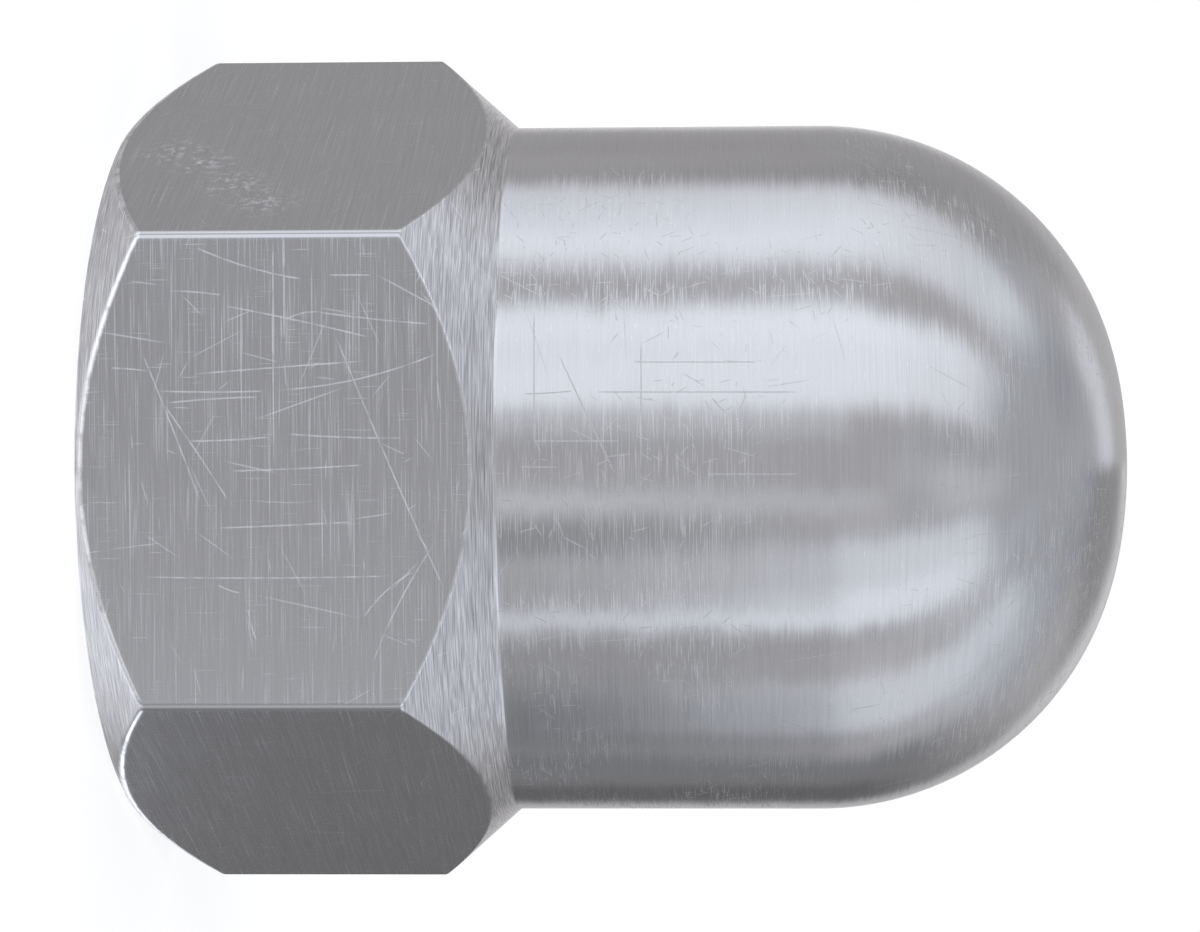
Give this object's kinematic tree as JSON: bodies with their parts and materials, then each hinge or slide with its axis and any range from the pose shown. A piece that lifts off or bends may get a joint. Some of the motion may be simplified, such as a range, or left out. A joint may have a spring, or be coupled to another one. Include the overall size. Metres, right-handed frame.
{
  "type": "cap nut",
  "caption": "High-crown cap nut: a chamfered hexagon under a turned shoulder and a round body with a domed end, tapped blind from its bearing face.",
  "frame": {"origin": "centre of the bearing face, which the nut stands on", "axes": "+Z along the nut's axis, from the bearing face to the tip of the dome; a hexagon flat faces -Y and the hexagon has corners on +X and -X"},
  "size_m": [0.022, 0.019, 0.0257],
  "materials": {
    "turned_steel": "satin, with fine turning lines round the body and light scratches"
  },
  "bodies": {
    "root": {"cap_nut": "turned_steel"}
  },
  "joints": []
}
